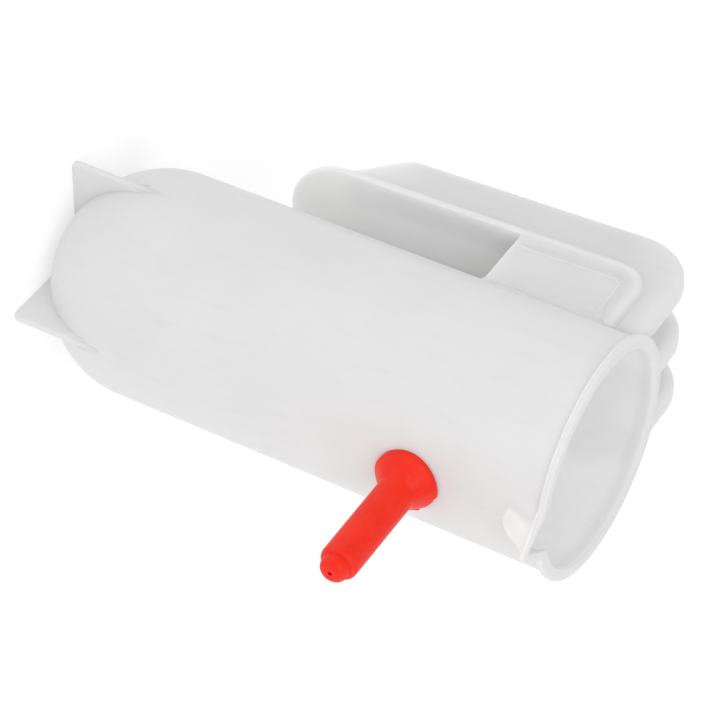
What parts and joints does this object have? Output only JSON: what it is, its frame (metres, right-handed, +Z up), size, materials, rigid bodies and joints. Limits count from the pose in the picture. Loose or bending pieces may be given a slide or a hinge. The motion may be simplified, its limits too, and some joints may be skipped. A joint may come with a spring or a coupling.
{
  "type": "hanging lamb milk feeder",
  "caption": "Hanging milk feeder for a lamb or kid: round-bottomed vessel on fins, with a ribbed hook, pouring spout and rubber teat with valve.",
  "frame": {"origin": "in the plane of the feet, at the centre of the whole feeder's footprint, 7.5 mm from the vessel's axis towards the teat", "axes": "+Z up along the vessel's axis, -Y towards the teat and spout, +Y towards the hook"},
  "size_m": [0.1094, 0.2154, 0.26],
  "materials": {
    "clear_plastic": "satin translucent",
    "red_rubber": "matte",
    "dark_rubber": "matte",
    "white_plastic": "matte",
    "ball_plastic": "polished"
  },
  "bodies": {
    "vessel": {"vessel": "clear_plastic"},
    "teat": {"teat": "red_rubber"},
    "valve": {"valve_body": "white_plastic", "seal_washer": "dark_rubber"},
    "ball": {"valve_ball": "ball_plastic"},
    "cap": {"valve_cap": "white_plastic"}
  },
  "joints": [
    {"name": "teat_pull", "type": "slide", "parent": "vessel", "child": "teat", "axis": [0, -1, 0], "range_m": [0, 0.02]},
    {"name": "valve_push", "type": "slide", "parent": "vessel", "child": "valve", "axis": [0, 1, 0], "range_m": [0, 0.02]},
    {"name": "ball_lift", "type": "slide", "parent": "valve", "child": "ball", "axis": [0, 0, 1], "range_m": [0, 0.0022]},
    {"name": "cap_pull", "type": "slide", "parent": "valve", "child": "cap", "axis": [0, 0, -1], "range_m": [0, 0.012]}
  ]
}
